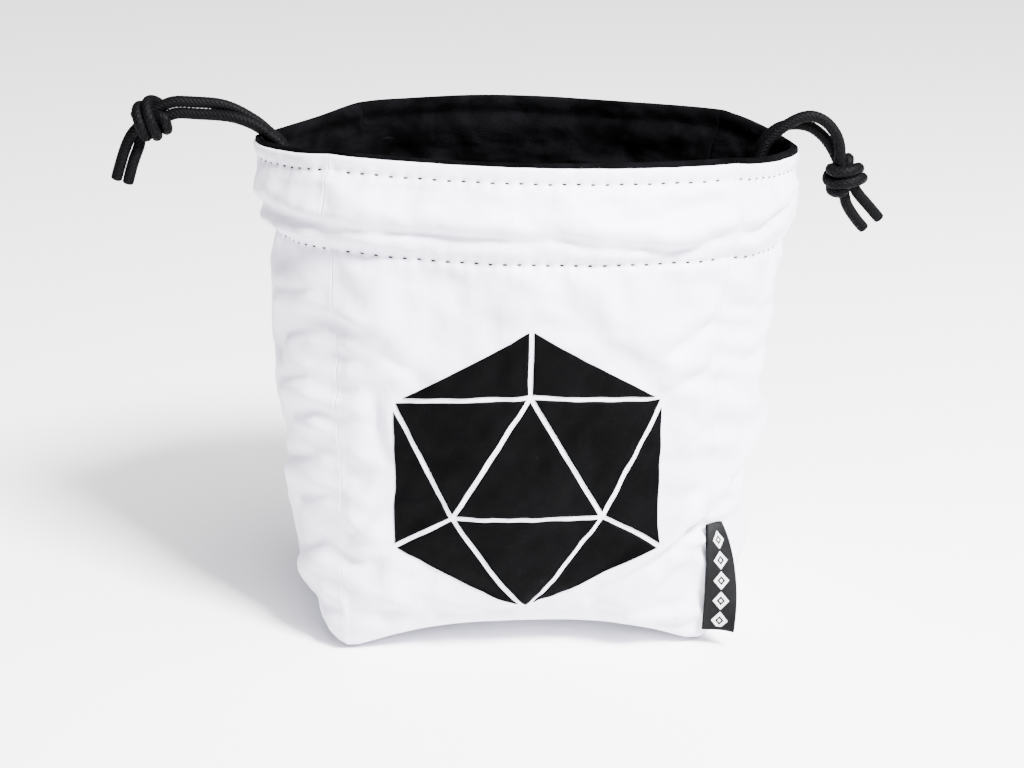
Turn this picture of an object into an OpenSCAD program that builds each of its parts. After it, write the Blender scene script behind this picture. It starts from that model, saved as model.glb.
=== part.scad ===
// Drawstring dice bag: a box-bottomed fabric bag that stands by itself with its mouth open.
// Millimetres, +Z up. The origin is the middle of the base, on the floor. The front faces -Y.
// Every wall is three layers (outer satin, fleece stiffener, velour lining) cut by the seams.

/* [Bag size] */

// height of the front and back rims above the floor
bag_height = 148; // [130:1:165]

// half the width of the front and back panels at the base
seam_half_base = 54; // [48:0.5:58]

// half the width of the front and back panels at the rim
seam_half_rim = 58.5; // [57:0.5:62]

// distance from the middle plane to the corner seams, at the base
seam_depth_base = 43.5; // [38:0.5:48]

// distance from the middle plane to the corner seams, at the rim
seam_depth_rim = 36; // [32:0.5:42]

// half the width of the whole bag at the base
side_half_base = 62; // [61:0.5:64]

// half the width of the whole bag at the rim, across the side corners of the mouth
side_half_rim = 82; // [80:0.5:86]

/* [Wall shape] */

// how far the front and back panels belly out at the base
belly_base = 3.5; // [2:0.5:6]

// how far the front and back panels belly out at the rim
belly_rim = 11; // [8:0.5:14]

// extra belly half way up
belly_middle = 4; // [0:0.5:8]

// how far the side corners of the mouth droop below the front rim
droop = 4; // [2:0.5:6]

// how much lower the rim gets for each millimetre to the right
tilt = 0.033; // [0:0.003:0.045]

// how far the rim sways to the right of the base
sway = 3; // [0:0.5:4]

/* [Layers] */

// thickness of the outer satin
outer_t = 0.5; // [0.4:0.1:0.7]

// thickness of the fleece stiffener
fleece_t = 1.5; // [1:0.1:2]

// thickness of the velour lining
lining_t = 1.2; // [0.8:0.1:1.6]

// clear gap between panels that move against each other
seam_gap = 0.5; // [0.4:0.1:0.8]

/* [Drawcord] */

// thickness of the braided cord
cord_d = 3.2; // [2.6:0.1:3.4]

// height of the cord channel between its two rows of stitching
channel_h = 22.5; // [22:0.5:25]

// distance from the rim down to the upper row of stitching
rim_row_drop = 4.5; // [3:0.5:6]

/* [Stitching] */

// distance from one stitch to the next
stitch_pitch = 4; // [3:0.5:6]

// length of one stitch
stitch_l = 1.6; // [1:0.1:2.5]

/* [Print and label] */

// distance from the middle of the printed die to its points
die_r = 45; // [36:1:46]

// height of the middle of the printed die above the floor
die_z = 58; // [52:1:64]

// width of the bare lines between the printed triangles
die_gap = 1.4; // [0.8:0.1:2]

// height of the woven label
label_h = 33; // [24:1:36]

// how far the woven label stands out of its seam
label_w = 9; // [6:0.5:10]

/* [Hidden] */

row_low = bag_height - rim_row_drop - channel_h;
row_high = bag_height - rim_row_drop;
base_t = outer_t + fleece_t + lining_t;
wall_z = base_t + 0.4;
channel_in = outer_t + cord_d + 0.8;
cord_r = cord_d / 2;
cord_in = outer_t + 0.4 + cord_r;
high_level = row_high - 6.5;
low_level = row_high - 14.5;
$flip = 1;
die_film = 0.15;
columns = 12;
slit_l = 17;

function mix(a, b, t) = a + (b - a) * t;
function up(z) = z / bag_height;

// outline of the outer face at a height: corner seams, side corners and bellies
function seam_x(z) = mix(seam_half_base, seam_half_rim, pow(up(z), 1.8));
function seam_y(z) = mix(seam_depth_base, seam_depth_rim, pow(up(z), 2));
function belly(z) = mix(belly_base, belly_rim, up(z)) + belly_middle * 4 * up(z) * (1 - up(z));
function side_x(z) = mix(side_half_base, side_half_rim, pow(up(z), 1.7))
    + 30 * up(z) * (1 - up(z)) * (1 - up(z));
function corner_power(z) = mix(5, 1.4, pow(up(z), 0.8));

// the front panel's depth at x, and the gusset's half width at y, with the layer set in by d
function front_y(x, z, d) = -seam_y(z) - belly(z) * (1 - pow(x / seam_x(z), 2)) + d;
function lean(s, z) = (side_x(z) - seam_x(z)) * corner_power(z)
    * pow(abs(s), corner_power(z) - 1) / seam_y(z);
function gusset_end(z, d) = pow(1 - (d * sqrt(1 + pow(lean(1, z), 2)) + seam_gap)
    / (side_x(z) - seam_x(z)), 1 / corner_power(z));
function gusset_x(s, z, d) = seam_x(z) + (side_x(z) - seam_x(z))
    * (1 - pow(abs(s), corner_power(z))) - d * sqrt(1 + pow(lean(s, z), 2));

// levels of the rows of points up a wall, and how far in the lining starts at a height
levels = [wall_z, 14, 32, 54, 76, 96, row_low - 2, row_low + 5, mix(row_low, row_high, 0.5),
    row_high - 3.5, row_high, bag_height];
function lining_in(z) = lookup(z, [[0, outer_t + fleece_t], [row_low - 2, outer_t + fleece_t],
    [row_low + 5, channel_in], [row_high - 3.5, channel_in], [row_high, outer_t],
    [bag_height, outer_t]]);

// the whole bag sways and tilts to the right as it rises ($flip is -1 in what is drawn mirrored)
function place(x, y, z, drop) = [x + $flip * sway * pow(up(z), 1.5), y,
    z - ($flip * tilt * x + drop) * pow(up(z), 2)];

// a spot on a front or back wall, and on a gusset, with s running from -1 to 1 across it
function wall_spot(x, z, d) = place(x, front_y(x, z, d), z, 0);
function side_spot(s, z, d) = place(gusset_x(s, z, d), s * seam_y(z), z, droop * (1 - s * s));
function wall_point(i, z, d) = wall_spot(seam_x(z) * (2 * i / columns - 1), z, d);
function gusset_point(i, z, d) = side_spot((2 * i / columns - 1) * gusset_end(z, d), z, d);

// closes two grids of points (the outer face, then the inner face) into one solid sheet
module sheet_between(outside, inside, rows) {
    n = columns + 1;
    m = rows + 1;
    k = n * m;
    points = concat(outside, inside);
    faces = concat(
        [for (i = [0:columns - 1], j = [0:rows - 1]) each
            [[i * m + j, i * m + j + 1, (i + 1) * m + j + 1],
             [i * m + j, (i + 1) * m + j + 1, (i + 1) * m + j],
             [k + i * m + j, k + (i + 1) * m + j + 1, k + i * m + j + 1],
             [k + i * m + j, k + (i + 1) * m + j, k + (i + 1) * m + j + 1]]],
        [for (i = [0:columns - 1]) each
            [[i * m, (i + 1) * m, k + (i + 1) * m], [i * m, k + (i + 1) * m, k + i * m],
             [i * m + rows, k + (i + 1) * m + rows, (i + 1) * m + rows],
             [i * m + rows, k + i * m + rows, k + (i + 1) * m + rows]]],
        [for (j = [0:rows - 1]) each
            [[j, k + j + 1, j + 1], [j, k + j, k + j + 1],
             [columns * m + j, columns * m + j + 1, k + columns * m + j + 1],
             [columns * m + j, k + columns * m + j + 1, k + columns * m + j]]]);
    polyhedron(points = points, faces = faces, convexity = 4);
}

// a front or side sheet: zs are its levels, d0 and d1 how deep its two faces lie at each level
function search_at(z, zs) = [for (j = [0:len(zs) - 1]) if (zs[j] == z) j][0];
module front_sheet(zs, d0, d1) {
    sheet_between([for (i = [0:columns], z = zs) wall_point(i, z, d0[search_at(z, zs)])],
        [for (i = [0:columns], z = zs) wall_point(i, z, d1[search_at(z, zs)])], len(zs) - 1);
}

module gusset_sheet(zs, d0, d1) {
    sheet_between([for (i = [0:columns], z = zs) gusset_point(i, z, d0[search_at(z, zs)])],
        [for (i = [0:columns], z = zs) gusset_point(i, z, d1[search_at(z, zs)])], len(zs) - 1);
}

// the three layers: the fleece ends under the cord channel, the lining swells round the channel
outer_zs = levels;
fleece_zs = [for (j = [0:6]) levels[j]];
function same(v, n) = [for (j = [0:n - 1]) v];
lining_from = [for (z = levels) lining_in(z)];
lining_to = [for (z = levels) lining_in(z) + lining_t];

module outer_wall() { front_sheet(outer_zs, same(0, 12), same(outer_t, 12)); }
module fleece_wall() { front_sheet(fleece_zs, same(outer_t, 7), same(outer_t + fleece_t, 7)); }
module lining_wall() { front_sheet(outer_zs, lining_from, lining_to); }
module outer_side() { gusset_sheet(outer_zs, same(0, 12), same(outer_t, 12)); }
module fleece_side() { gusset_sheet(fleece_zs, same(outer_t, 7), same(outer_t + fleece_t, 7)); }
// the lining of a side has a slit, through which the two ends of one cord come out of the channel
module lining_side(level) {
    difference() {
        gusset_sheet(outer_zs, lining_from, lining_to);
        translate(side_spot(0, level, 0) - [12, slit_l / 2, 5]) cube([11, slit_l, 10]);
    }
}

// plan outline of the base, a little inside the walls' outer faces
function base_outline(inset) = let (s = seam_x(0) - inset, n = 10) concat(
    [for (i = [0:n]) let (x = s * (2 * i / n - 1)) [x, front_y(x, 0, inset)]],
    [for (i = [1:n - 1]) let (a = 2 * i / n - 1) [gusset_x(a, 0, 0) - inset, a * seam_y(0)]],
    [for (i = [n:-1:0]) let (x = s * (2 * i / n - 1)) [x, -front_y(x, 0, inset)]],
    [for (i = [n - 1:-1:1]) let (a = 2 * i / n - 1) [inset - gusset_x(a, 0, 0), a * seam_y(0)]]);
module base_sheet(z, t, inset) {
    translate([0, 0, z]) linear_extrude(t) polygon(base_outline(inset));
}

// a round cord swept along a route; ref is a direction the route never runs along
function unit(v) = v / norm(v);
module cord(route, ref) {
    n = len(route);
    sides = 8;
    rings = [for (i = [0:n - 1]) let (t = unit(route[min(i + 1, n - 1)] - route[max(i - 1, 0)]),
        a = unit(cross(t, ref)), b = cross(t, a))
        for (k = [0:sides - 1]) route[i] + cord_r * (a * cos(45 * k) + b * sin(45 * k))];
    faces = concat([[for (k = [sides - 1:-1:0]) k]],
        [for (i = [0:n - 2], k = [0:sides - 1]) each
            [[i * sides + k, i * sides + (k + 1) % sides, (i + 1) * sides + (k + 1) % sides],
             [i * sides + k, (i + 1) * sides + (k + 1) % sides, (i + 1) * sides + k]]],
        [[for (k = [0:sides - 1]) (n - 1) * sides + k]]);
    polyhedron(points = rings, faces = faces, convexity = 6);
}

// routes of the cords inside the channel
function wall_run(level) = let (w = seam_x(level) - 0.6)
    [for (i = [0:14]) wall_spot(w * (i / 7 - 1), level, cord_in)];
function run_end(level) = gusset_end(level, cord_in + cord_r + 0.6);
function side_run(level) = [for (i = [-7:7]) side_spot(run_end(level) * i / 7, level, cord_in)];

// an end of a cord: along the channel, in through the slit, and up inside to the rim
function end_run(level, way_out) = concat(
    [for (i = [-7:-2]) side_spot(run_end(level) * i / 7, level, cord_in)], way_out);
left_way_out = [[72.3, -5.4, 136], [70, -3.4, 136.8], [68.6, -2.2, 139.2], [68.4, -1.9, 142.6],
    [69.8, -1.9, 145.8], [72.6, -1.9, 148.2]];
right_way_out = [[75.9, -5.4, 122.3], [73.6, -3.4, 123.2], [72.3, -2.2, 125.8], [71.8, -1.9, 130],
    [71.8, -1.9, 135], [72.6, -1.9, 140], [74.4, -1.9, 144.2], [77, -1.9, 147]];

// the free strands, from the rim to the knot, and the tails beyond it
left_strand = [[-72.9, 0, 148.4], [-75.8, 0, 150.4], [-79, 0, 152.4], [-83.4, 0, 154.6],
    [-88, 0, 156], [-94, 0, 156.7], [-100, 0, 156.5]];
left_tail = [[-109.8, 0, 151.4], [-111.6, 0, 149.2], [-113.8, 0, 145.4], [-115.8, 0, 141],
    [-117.8, 0, 136.2]];
right_upper = [[77.3, 0, 147.3], [80.4, 0, 149.7], [84, 0, 151.7], [88, 0, 152.4],
    [92.2, 0, 150.6], [95.6, 0, 146.6], [97.4, 0, 142]];
right_lower = [[77.3, 0, 147.3], [80.2, 0, 148.9], [84, 0, 149.6], [88.2, 0, 148.8],
    [92.2, 0, 146.2], [95, 0, 142.2]];
right_tail = [[99.9, 0, 131], [101.7, 0, 128.8], [104, 0, 126.2], [106.6, 0, 123.2],
    [109.2, 0, 119.8]];

function beside(route, y) = [for (p = route) [p[0], y, p[2]]];

// the knot: both strands wound twice round and pulled tight
module knot() {
    rotate_extrude($fn = 32)
        polygon([[0, 0], [3.9, 0], [5.2, 1], [5.8, 2.6], [5.2, 4.1], [5.9, 5.6], [5.9, 7],
            [5.2, 8.6], [3.9, 9.6], [0, 9.6]]);
}

// rows of stitches that lie on the outer face
module stitch(at, toward) {
    d = toward - at;
    translate(at) rotate([0, 0, atan2(d[1], d[0])]) rotate([0, -atan2(d[2], norm([d[0], d[1]])), 0])
        translate([-stitch_l / 2, -0.2, -0.2]) cube([stitch_l, 0.4, 0.4]);
}
module wall_stitches(level) {
    n = floor((seam_x(level) - 2) / stitch_pitch);
    for (i = [-n:n]) let (x = i * stitch_pitch)
        stitch(wall_spot(x, level, -0.45), wall_spot(x + 1, level, -0.45));
}
module side_stitches(level) {
    n = round(norm([side_x(level) - seam_x(level), seam_y(level)]) / stitch_pitch) - 1;
    for (i = [-n:n]) let (s = 0.95 * i / n)
        stitch(side_spot(s, level, -0.45), side_spot(s + 0.02, level, -0.45));
}

// a die with ten faces in sight, drawn as solid triangles with bare lines between them
module die_faces() {
    function spot(a, r) = [r * cos(a), r * sin(a)];
    big = die_r;
    small = die_r * 0.6;
    module face(a, b, c) { offset(delta = -die_gap / 2) polygon([a, b, c]); }
    face(spot(90, small), spot(210, small), spot(330, small));
    for (k = [0:2]) rotate(120 * k) {
        face(spot(90, small), spot(30, big), spot(330, small));
        face(spot(90, small), spot(90, big), spot(30, big));
        face(spot(90, small), spot(150, big), spot(90, big));
    }
}

// which sub-part to draw

white = [0.93, 0.93, 0.95];
grey = [0.8, 0.8, 0.8];
black = [0.06, 0.06, 0.07];
module to_back() { mirror([0, 1, 0]) children(); }
module to_left() { $flip = -1; mirror([1, 0, 0]) children(); }

module outer_front() { color(white) outer_wall(); }
module outer_back() { color(white) to_back() outer_wall(); }
module outer_left() { color(white) to_left() outer_side(); }
module outer_right() { color(white) outer_side(); }
module outer_base() { color(white) base_sheet(0, outer_t, 0); }
module fleece_front() { color(grey) fleece_wall(); }
module fleece_back() { color(grey) to_back() fleece_wall(); }
module fleece_left() { color(grey) to_left() fleece_side(); }
module fleece_right() { color(grey) fleece_side(); }
module fleece_base() { color(grey) base_sheet(outer_t, fleece_t, 0.6); }
module lining_front() { color(black) lining_wall(); }
module lining_back() { color(black) to_back() lining_wall(); }
module lining_left() { color(black) to_left() lining_side(high_level); }
module lining_right() { color(black) lining_side(low_level); }
module lining_base() { color(black) base_sheet(outer_t + fleece_t, lining_t, 2.2); }

module printed_die() {
    color(black) intersection() {
        front_sheet(outer_zs, same(-die_film, 12), same(0, 12));
        translate([0, -30, die_z]) rotate([90, 0, 0]) linear_extrude(40) die_faces();
    }
}

module rim_stitches_front() { color(black) wall_stitches(row_high); }
module rim_stitches_back() { color(black) to_back() wall_stitches(row_high); }
module rim_stitches_left() { color(black) to_left() side_stitches(row_high); }
module rim_stitches_right() { color(black) side_stitches(row_high); }
module channel_stitches_front() { color(black) wall_stitches(row_low); }
module channel_stitches_back() { color(black) to_back() wall_stitches(row_low); }
module channel_stitches_left() { color(black) to_left() side_stitches(row_low); }
module channel_stitches_right() { color(black) side_stitches(row_low); }

// a strip of woven tape folded over on itself, its two ends caught in the right front seam
module woven_label() {
    color(black) translate([seam_x(20) - 0.2, -seam_y(20) - 1.9, 6]) difference() {
        union() {
            cube([label_w, 1.2, label_h]);
            translate([label_w, 0.6, 0]) cylinder(h = label_h, d = 1.2, $fn = 24);
        }
        translate([-1, 0.45, -1]) cube([label_w + 1, 0.3, label_h + 2]);
    }
}

module left_cord_front_run() { color(black) cord(wall_run(high_level), [0, 0, 1]); }
module left_cord_back_run() { color(black) to_back() cord(wall_run(high_level), [0, 0, 1]); }
module left_cord_far_run() { color(black) cord(side_run(high_level), [0, 0, 1]); }
module left_cord_end_runs() {
    color(black) to_left() for (m = [0, 1]) mirror([0, m, 0])
        cord(end_run(high_level, left_way_out), [0.3, 1, 0.2]);
}
module right_cord_front_run() { color(black) cord(wall_run(low_level), [0, 0, 1]); }
module right_cord_back_run() { color(black) to_back() cord(wall_run(low_level), [0, 0, 1]); }
module right_cord_far_run() { color(black) to_left() cord(side_run(low_level), [0, 0, 1]); }
module right_cord_end_runs() {
    color(black) for (m = [0, 1]) mirror([0, m, 0])
        cord(end_run(low_level, right_way_out), [0.3, 1, 0.2]);
}

module left_strand_a() { color(black) cord(beside(left_strand, -1.9), [0, 1, 0]); }
module left_strand_b() { color(black) cord(beside(left_strand, 1.9), [0, 1, 0]); }
module left_knot() { color(black) translate([-101.2, 0, 156.6]) rotate([0, -120, 0]) knot(); }
module left_tails() {
    color(black) for (y = [-1.8, 1.8]) cord(beside(left_tail, y), [0, 1, 0]);
}
module right_strand_a() { color(black) cord(beside(right_upper, -1.9), [0, 1, 0]); }
module right_strand_b() { color(black) cord(beside(right_lower, 1.9), [0, 1, 0]); }
module right_knot() { color(black) translate([96.3, 0, 140.2]) rotate([0, 158, 0]) knot(); }
module right_tails() {
    color(black) for (y = [-1.8, 1.8]) cord(beside(right_tail, y), [0, 1, 0]);
}

outer_front();
outer_back();
outer_left();
outer_right();
outer_base();
fleece_front();
fleece_back();
fleece_left();
fleece_right();
fleece_base();
lining_front();
lining_back();
lining_left();
lining_right();
lining_base();
printed_die();
rim_stitches_front();
rim_stitches_back();
rim_stitches_left();
rim_stitches_right();
channel_stitches_front();
channel_stitches_back();
channel_stitches_left();
channel_stitches_right();
woven_label();
left_cord_front_run();
left_cord_back_run();
left_cord_far_run();
left_cord_end_runs();
right_cord_front_run();
right_cord_back_run();
right_cord_far_run();
right_cord_end_runs();
left_strand_a();
left_strand_b();
left_knot();
left_tails();
right_strand_a();
right_strand_b();
right_knot();
right_tails();
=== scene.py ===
import math
import bpy
import numpy as np
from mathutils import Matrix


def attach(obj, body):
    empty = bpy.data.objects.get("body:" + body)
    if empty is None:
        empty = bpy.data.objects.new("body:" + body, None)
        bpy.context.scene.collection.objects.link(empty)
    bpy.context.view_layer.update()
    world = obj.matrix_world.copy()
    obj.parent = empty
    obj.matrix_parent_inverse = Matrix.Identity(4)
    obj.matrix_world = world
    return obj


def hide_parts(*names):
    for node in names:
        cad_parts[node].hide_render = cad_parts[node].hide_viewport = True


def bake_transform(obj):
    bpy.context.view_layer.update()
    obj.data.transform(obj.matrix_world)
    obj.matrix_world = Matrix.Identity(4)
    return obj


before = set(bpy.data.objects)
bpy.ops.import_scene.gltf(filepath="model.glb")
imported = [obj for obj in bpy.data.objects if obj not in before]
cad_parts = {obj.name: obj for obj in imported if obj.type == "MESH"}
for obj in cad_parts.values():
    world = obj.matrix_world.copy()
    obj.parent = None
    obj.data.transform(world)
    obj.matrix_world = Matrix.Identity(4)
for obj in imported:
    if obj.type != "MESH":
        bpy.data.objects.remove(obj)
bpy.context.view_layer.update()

# ---------------------------------------------------------------- camera, lights and floor
# A table-top product shot: the camera stands a little left of the middle and looks down into
# the mouth. A soft box hangs over the bag's right, a weak one fills the left, a wide sun
# stands for the white ceiling, and the floor is a seamless sheet of white paper.
MM = 0.001

camera_data = bpy.data.cameras.new("camera")
camera_data.sensor_width = 36.0
camera_data.lens = 72.14
camera = bpy.data.objects.new("camera", camera_data)
camera.location = (-0.03264, -0.59918, 0.27553)
camera.rotation_euler = (math.radians(90 - 18.99), 0, math.radians(-3.0))
bpy.context.scene.collection.objects.link(camera)
bpy.context.scene.camera = camera


def soft_box(name, place, at, size, watts, tint=(1.0, 1.0, 1.0)):
    """A square area light of that size in metres. Its -Z axis is turned to point from its place to
    the point it lights: tilted by the angle from straight down, then turned to that side."""
    data = bpy.data.lights.new(name, "AREA")
    data.shape = "SQUARE"
    data.size = size
    data.energy = watts
    data.color = tint
    lamp = bpy.data.objects.new(name, data)
    lamp.location = place
    way = np.array(at, float) - np.array(place, float)
    lamp.rotation_euler = (math.acos(-way[2] / np.linalg.norm(way)), 0,
                           math.atan2(way[1], way[0]) - math.pi / 2)
    bpy.context.scene.collection.objects.link(lamp)


soft_box("key_box", (0.5, -0.62, 0.95), (0, 0, 0.07), 0.3, 106.0)
soft_box("left_fill", (-0.9, -0.7, 0.35), (0, 0, 0.08), 0.6, 0.4, (0.9, 0.92, 1.0))
ceiling = bpy.data.objects.new("ceiling", bpy.data.lights.new("ceiling", "SUN"))
ceiling.data.energy = 4.6
ceiling.data.angle = math.radians(50)
ceiling.rotation_euler = (math.radians(14), math.radians(16), 0)
bpy.context.scene.collection.objects.link(ceiling)

world = bpy.data.worlds.new("studio")
world.use_nodes = True
world.node_tree.nodes["Background"].inputs["Color"].default_value = (0.93, 0.94, 1.0, 1)
world.node_tree.nodes["Background"].inputs["Strength"].default_value = 0.4
bpy.context.scene.world = world


def finish_of(name, colour, rough, **sockets):
    """A new material whose shader has its own constant values set on its own sockets."""
    made = bpy.data.materials.new(name)
    made.use_nodes = True
    node = made.node_tree.nodes["Principled BSDF"]
    node.inputs["Base Color"].default_value = (*colour, 1)
    node.inputs["Roughness"].default_value = rough
    for socket, value in sockets.items():
        node.inputs[socket.replace("_", " ")].default_value = value
    return made, made.node_tree, node


def add(tree, kind, links=(), **values):
    """A new node; values go to its inputs or settings by name, links are (input, source) pairs."""
    node = tree.nodes.new(kind)
    for key, value in values.items():
        if key in node.inputs:
            node.inputs[key].default_value = value
        else:
            setattr(node, key, value)
    for socket, source in links:
        tree.links.new(source, node.inputs[socket])
    return node


def cloud(tree, **values):
    """The value of a noise in the piece's own Object coordinates."""
    place = add(tree, "ShaderNodeTexCoord").outputs["Object"]
    return add(tree, "ShaderNodeTexNoise", [("Vector", place)], **values).outputs["Fac"]


def ramp(tree, source, low, dark, high, light):
    """A colour that runs from one at low to another at high."""
    node = add(tree, "ShaderNodeValToRGB", [("Fac", source)])
    for stop, at, colour in zip(node.color_ramp.elements, (low, high), (dark, light)):
        stop.position = at
        stop.color = (*colour, 1)
    return node.outputs["Color"]


def tone(tree, shader, *stops):
    """Gives a shader such a running colour."""
    tree.links.new(ramp(tree, *stops), shader.inputs["Base Color"])


def bumps(tree, shader, *layers):
    """Stacks bump nodes on the shader's normal; a layer is (height source, strength, distance)."""
    normal = None
    for source, strength, distance in layers:
        links = [("Height", source)] + ([("Normal", normal)] if normal else [])
        bump = add(tree, "ShaderNodeBump", links, Strength=strength, Distance=distance)
        normal = bump.outputs["Normal"]
    tree.links.new(normal, shader.inputs["Normal"])


def mesh_piece(name, points, faces, material, smooth=True):
    """A mesh object at the origin, from points in millimetres and their faces."""
    data = bpy.data.meshes.new(name)
    data.from_pydata((np.asarray(points, float) * MM).tolist(), [],
                     faces.tolist() if isinstance(faces, np.ndarray) else faces)
    data.update()
    if smooth:
        data.polygons.foreach_set("use_smooth", np.ones(len(data.polygons), bool))
    data.materials.append(material)
    piece = bpy.data.objects.new(name, data)
    bpy.context.scene.collection.objects.link(piece)
    return piece


paper, paper_tree, paper_shader = finish_of("paper", (0.98, 0.98, 0.98), 0.9)
bumps(paper_tree, paper_shader, (cloud(paper_tree, Scale=90.0), 0.03, 0.0005))
floor = mesh_piece("floor", [(-3000, -3000, -0.3), (3000, -3000, -0.3), (3000, 3000, -0.3),
                             (-3000, 3000, -0.3)], [(0, 1, 2, 3)], paper, smooth=False)

# ---------------------------------------------------------------- the two drawcords
# Round braided polyester cord, 3.2 mm thick, one pulled from each side. Both ends of a cord
# come out of the lining through one slit, go over the rim and are tied together in a wrapped
# knot; the cut tails are melted so that they don't fray.
CORD_D = 3.2
STEP = 0.25
BRAID_SIDES = 48


def smooth_route(points):
    """A Catmull-Rom curve through the points, in even steps of arc length, with each point moved
    a few times to the middle of its neighbours to take out the kinks."""
    p = np.asarray(points, float)
    ends = np.vstack([2 * p[0] - p[1], p, 2 * p[-1] - p[-2]])
    t = np.linspace(0, 1, 24, endpoint=False)[:, None, None]
    a, b, c, d = ends[:-3], ends[1:-2], ends[2:-1], ends[3:]
    line = 0.5 * (2 * b + (c - a) * t + (2 * a - 5 * b + 4 * c - d) * t ** 2
                  + (3 * b - a - 3 * c + d) * t ** 3)
    line = np.vstack([line.transpose(1, 0, 2).reshape(-1, 3), p[-1:]])
    s = np.concatenate([[0], np.cumsum(np.linalg.norm(np.diff(line, axis=0), axis=1))])
    even = np.linspace(0, s[-1], int(s[-1] / STEP) + 1)
    line = np.stack([np.interp(even, s, line[:, k]) for k in range(3)], 1)
    for _ in range(30):
        line[1:-1] = 0.5 * line[1:-1] + 0.25 * (line[:-2] + line[2:])
    return line


def carried_frames(line):
    """Two directions across the line at each point, carried along it without twist: each is the one
    before, less its part along the line."""
    along = np.gradient(line, axis=0)
    along /= np.linalg.norm(along, axis=1)[:, None]
    side = np.empty_like(line)
    side[0] = np.cross(along[0], (0.0, 1.0, 0.1))
    side[0] /= np.linalg.norm(side[0])
    for k in range(1, len(line)):
        side[k] = side[k - 1] - along[k] * (side[k - 1] @ along[k])
        side[k] /= np.linalg.norm(side[k])
    return side, np.cross(along, side)


def braid_radius(angle, along, carriers=8, lay=10.0):
    """Radius of a round braid. Two sets of strands wind opposite ways; where they cross, one lies over
    the other by turns, as on a chessboard of diamonds, and shows as a crowned ridge."""
    a = carriers * (angle / (2 * np.pi) + along / lay)
    b = carriers * (angle / (2 * np.pi) - along / lay)
    over = (np.floor(a) + np.floor(b)) % 2 == 0
    u, v = a % 1 - 0.5, b % 1 - 0.5
    across, down = np.where(over, u, v), np.where(over, v, u)
    crown = np.sqrt(np.clip(1 - (2 * across) ** 2, 0, 1)) * (1 - 0.9 * down ** 2)
    return CORD_D / 2 - 0.3 + 0.44 * crown


def tube_points(line, side, other, radius, sides):
    """Rings of points round a line: each is the radius out from it, in a direction that turns from
    side towards other. The radius is one number, or one for each ring and side."""
    angle = np.linspace(0, 2 * np.pi, sides, endpoint=False)[:, None]
    out = np.cos(angle) * side[..., None, :] + np.sin(angle) * other[..., None, :]
    return line[..., None, :] + np.asarray(radius)[..., None] * out


def ring_quads(rings, sides):
    """Quads between that many rings of points, each ring closed on itself."""
    i, j = np.meshgrid(np.arange(rings - 1), np.arange(sides), indexing="ij")
    k = (j + 1) % sides
    quads = np.stack([i * sides + j, i * sides + k, (i + 1) * sides + k, (i + 1) * sides + j], -1)
    return quads.reshape(-1, 4)


def tube_faces(rings, sides):
    """Faces of a tube of that many rings, with a many-sided face at each end, facing outwards."""
    return (ring_quads(rings, sides).tolist() + [list(range(sides - 1, -1, -1))]
            + [list(range((rings - 1) * sides, rings * sides))])


def cord_tube(name, line, frames, start, stop, cut_end=False):
    """A braided tube along a stretch of a route. A cut end is swollen a little and rounded over, as
    melted cord is: the radius falls as a quarter of an ellipse over the last 0.8 mm."""
    k = np.arange(start, stop)
    angle = np.linspace(0, 2 * np.pi, BRAID_SIDES, endpoint=False)
    radius = braid_radius(angle[None, :], k[:, None] * STEP)
    if cut_end:
        left = ((stop - 1 - k) * STEP)[:, None]
        melted = np.exp(-(left / 1.2) ** 2)
        radius = radius * (1 - melted) + melted * (CORD_D / 2 + 0.05)
        radius *= np.sqrt(np.clip(1 - (1 - left / 0.8).clip(0, 1) ** 2, 0.03, 1))
    side, other = frames
    ring = tube_points(line[k], side[k], other[k], radius, BRAID_SIDES)
    return mesh_piece(name, ring.reshape(-1, 3), tube_faces(len(k), BRAID_SIDES), cord_black)


cord_black, cord_tree, cord_shader = finish_of("braided_cord", (0.01, 0.01, 0.012), 0.5, Sheen_Weight=0.002,
                                               Sheen_Roughness=0.4, Specular_IOR_Level=0.03)
cord_fibre = cloud(cord_tree, Scale=4200.0, Detail=4.0, Roughness=0.65)
tone(cord_tree, cord_shader, cord_fibre, 0.3, (0.0004, 0.0004, 0.0005), 0.75, (0.003, 0.003, 0.0035))
bumps(cord_tree, cord_shader, (cord_fibre, 0.35, 0.00015))


def knot_route(near, axis, start_angle, across):
    """One strand's way through the knot: in along the core, out at the far end, a turn and a quarter
    round the outside back to the near end, and in again along the core as the tail. near is the middle
    of the near face, axis runs to the far one, and across is the direction of angle 0."""
    axis = np.array(axis, float) / np.linalg.norm(axis)
    e1 = np.array(across, float)
    e2 = np.cross(axis, e1)
    turn = np.radians([0, 0, 0, 10, 40, 90, 140, 190, 240, 290, 340, 380, 412, 436, 448, 450, 450, 450])
    out = np.array([1.7, 1.7, 1.8, 2.6, 4.4, 5.0, 5.0, 5.0, 5.0, 5.0, 5.0, 4.8, 4.2, 3.1, 2.2, 1.8,
                    1.7, 1.7])
    depth = np.array([-0.6, 2.0, 6.0, 9.2, 10.6, 9.8, 8.9, 8.0, 7.1, 6.2, 5.2, 4.2, 3.2, 3.0, 4.4, 6.8,
                      9.4, 12.0])
    angle = start_angle + turn
    return (np.array(near) + depth[:, None] * axis
            + out[:, None] * (np.cos(angle)[:, None] * e1 + np.sin(angle)[:, None] * e2))


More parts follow.
